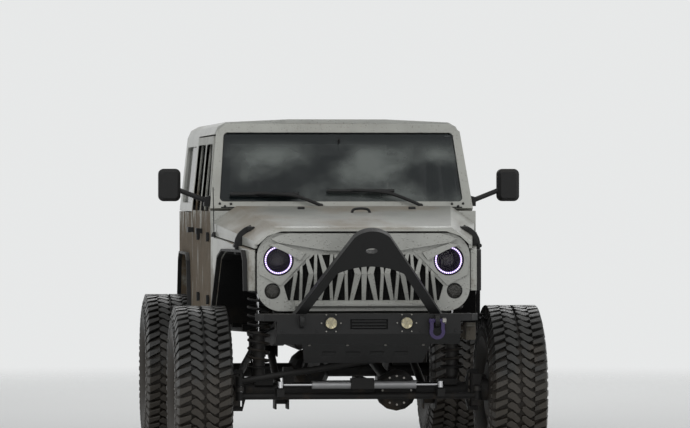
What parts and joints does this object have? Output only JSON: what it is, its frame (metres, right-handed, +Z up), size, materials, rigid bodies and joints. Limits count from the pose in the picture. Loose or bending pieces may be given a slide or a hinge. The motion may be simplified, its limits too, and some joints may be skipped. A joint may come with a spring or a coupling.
{
  "type": "off-road vehicle",
  "caption": "Lifted off-road 4x4 with a boxy hollow body, hard top, hoop bumper, big mud tyres, opening doors, hood and tailgate, and working steering.",
  "frame": {"origin": "on the ground under the middle of the vehicle's bounding box", "axes": "+X to the vehicle's left, +Y to its rear, +Z up; it faces -Y"},
  "size_m": [2.21, 5.0216, 2.107],
  "materials": {
    "body_paint": "pale warm grey gloss under a brown dust film",
    "top_paint": "pale warm grey gloss, rain speckled",
    "black_steel": "black textured powder coat",
    "chassis_black": "black paint under dried mud",
    "satin_steel": "satin silver",
    "cast_metal": "cast, muddy",
    "wheel_black": "satin black alloy",
    "tyre_rubber": "mud-terrain rubber with dried mud",
    "black_plastic": "grained black",
    "dark_trim": "cabin plastic",
    "seat_cloth": "dark woven cloth",
    "window_glass": "tinted",
    "lamp_lens": "clear lens over a dark bowl",
    "shackle_purple": "dark purple anodised",
    "red_lens": "red lens"
  },
  "bodies": {
    "chassis": {"frame": "chassis_black", "front_axle": "chassis_black", "rear_axle": "chassis_black", "coilovers": "chassis_black", "control_arms": "chassis_black", "driveshafts": "satin_steel", "powertrain": "cast_metal", "exhaust": "satin_steel", "fuel_tank": "black_plastic", "dampers": "satin_steel", "tub": "body_paint", "front_fenders": "body_paint", "grille": "body_paint", "headlamps": "lamp_lens", "hard_top": "top_paint", "top_glass": "window_glass", "windshield_frame": "body_paint", "windshield_glass": "window_glass", "flares": "black_plastic", "arch_liners": "black_plastic", "shackle": "shackle_purple", "front_bumper": "black_steel", "spot_lamps": "lamp_lens", "rear_bumper": "black_steel", "tail_lamps": "red_lens", "dashboard": "dark_trim", "seats": "seat_cloth", "roll_cage": "black_steel", "rear_glass": "window_glass"},
    "hood": {"hood": "body_paint"},
    "tailgate": {"tailgate": "body_paint", "spare_tyre": "tyre_rubber", "spare_rim": "wheel_black"},
    "steering_wheel": {"steering_wheel": "dark_trim"},
    "pitman_arm": {"pitman_arm": "cast_metal"},
    "drag_link": {"drag_link": "chassis_black"},
    "tie_rod": {"tie_rod": "chassis_black"},
    "damper_rods": {"damper_rods": "satin_steel"},
    "knuckle_left": {"knuckle_left": "cast_metal"},
    "knuckle_right": {"knuckle_right": "cast_metal"},
    "wheel_front_left": {"tyre_front_left": "tyre_rubber", "rim_front_left": "wheel_black"},
    "door_front_left": {"door_front_left": "body_paint", "glass_front_left": "window_glass", "mirror_left": "black_plastic"},
    "wheel_front_right": {"tyre_front_right": "tyre_rubber", "rim_front_right": "wheel_black"},
    "door_front_right": {"door_front_right": "body_paint", "glass_front_right": "window_glass", "mirror_right": "black_plastic"},
    "wheel_rear_left": {"tyre_rear_left": "tyre_rubber", "rim_rear_left": "wheel_black"},
    "door_rear_left": {"door_rear_left": "body_paint", "glass_rear_left": "window_glass"},
    "wheel_rear_right": {"tyre_rear_right": "tyre_rubber", "rim_rear_right": "wheel_black"},
    "door_rear_right": {"door_rear_right": "body_paint", "glass_rear_right": "window_glass"}
  },
  "joints": [
    {"name": "steer_left", "type": "hinge", "parent": "chassis", "child": "knuckle_left", "pos_m": [0.7, -1.541, 0.497], "axis": [0, 0, 1], "range_deg": [-32, 32]},
    {"name": "steer_right", "type": "hinge", "parent": "chassis", "child": "knuckle_right", "pos_m": [-0.7, -1.541, 0.497], "axis": [0, 0, 1], "range_deg": [-32, 32]},
    {"name": "tie_rod_end", "type": "hinge", "parent": "knuckle_left", "child": "tie_rod", "pos_m": [0.7, -1.741, 0.47], "axis": [0, 0, 1], "range_deg": [-32, 32]},
    {"name": "pitman_shaft", "type": "hinge", "parent": "chassis", "child": "pitman_arm", "pos_m": [0.335, -1.661, 0.772], "axis": [0, 0, 1], "range_deg": [-32, 32]},
    {"name": "drag_link_end", "type": "hinge", "parent": "pitman_arm", "child": "drag_link", "pos_m": [0.335, -1.861, 0.726], "axis": [0, 0, 1], "range_deg": [-32, 32]},
    {"name": "damper_travel", "type": "slide", "parent": "chassis", "child": "damper_rods", "axis": [1, 0, 0], "range_m": [-0.1065, 0.1065]},
    {"name": "wheel_front_left_spin", "type": "hinge", "parent": "knuckle_left", "child": "wheel_front_left", "pos_m": [0.92, -1.541, 0.497], "axis": [1, 0, 0], "continuous": true},
    {"name": "wheel_front_right_spin", "type": "hinge", "parent": "knuckle_right", "child": "wheel_front_right", "pos_m": [-0.92, -1.541, 0.497], "axis": [1, 0, 0], "continuous": true},
    {"name": "wheel_rear_left_spin", "type": "hinge", "parent": "chassis", "child": "wheel_rear_left", "pos_m": [0.92, 1.406, 0.497], "axis": [1, 0, 0], "continuous": true},
    {"name": "wheel_rear_right_spin", "type": "hinge", "parent": "chassis", "child": "wheel_rear_right", "pos_m": [-0.92, 1.406, 0.497], "axis": [1, 0, 0], "continuous": true},
    {"name": "door_front_left_hinge", "type": "hinge", "parent": "chassis", "child": "door_front_left", "pos_m": [0.817, -0.728, 1.2], "axis": [0, 0, -1], "range_deg": [0, 65]},
    {"name": "door_front_right_hinge", "type": "hinge", "parent": "chassis", "child": "door_front_right", "pos_m": [-0.817, -0.728, 1.2], "axis": [0, 0, 1], "range_deg": [0, 65]},
    {"name": "door_rear_left_hinge", "type": "hinge", "parent": "chassis", "child": "door_rear_left", "pos_m": [0.817, 0.111, 1.2], "axis": [0, 0, -1], "range_deg": [0, 65]},
    {"name": "door_rear_right_hinge", "type": "hinge", "parent": "chassis", "child": "door_rear_right", "pos_m": [-0.817, 0.111, 1.2], "axis": [0, 0, 1], "range_deg": [0, 65]},
    {"name": "hood_hinge", "type": "hinge", "parent": "chassis", "child": "hood", "pos_m": [0, -0.851, 1.592], "axis": [-1, 0, 0], "range_deg": [0, 55]},
    {"name": "tailgate_hinge", "type": "hinge", "parent": "chassis", "child": "tailgate", "pos_m": [-0.6, 2.072, 1.3], "axis": [0, 0, 1], "range_deg": [0, 95]},
    {"name": "steering_wheel_turn", "type": "hinge", "parent": "chassis", "child": "steering_wheel", "pos_m": [0.37, -0.431, 1.44], "axis": [0, 0.9119, 0.4104], "range_deg": [-520, 520]}
  ],
  "couplings": [
    {"joint": "steer_right", "follows": "steer_left", "ratio": 1},
    {"joint": "tie_rod_end", "follows": "steer_left", "ratio": -1},
    {"joint": "pitman_shaft", "follows": "steer_left", "ratio": 1},
    {"joint": "drag_link_end", "follows": "steer_left", "ratio": -1},
    {"joint": "damper_travel", "follows": "steer_left", "m_per_rad": 0.18976},
    {"joint": "steering_wheel_turn", "follows": "steer_left", "ratio": 16}
  ]
}
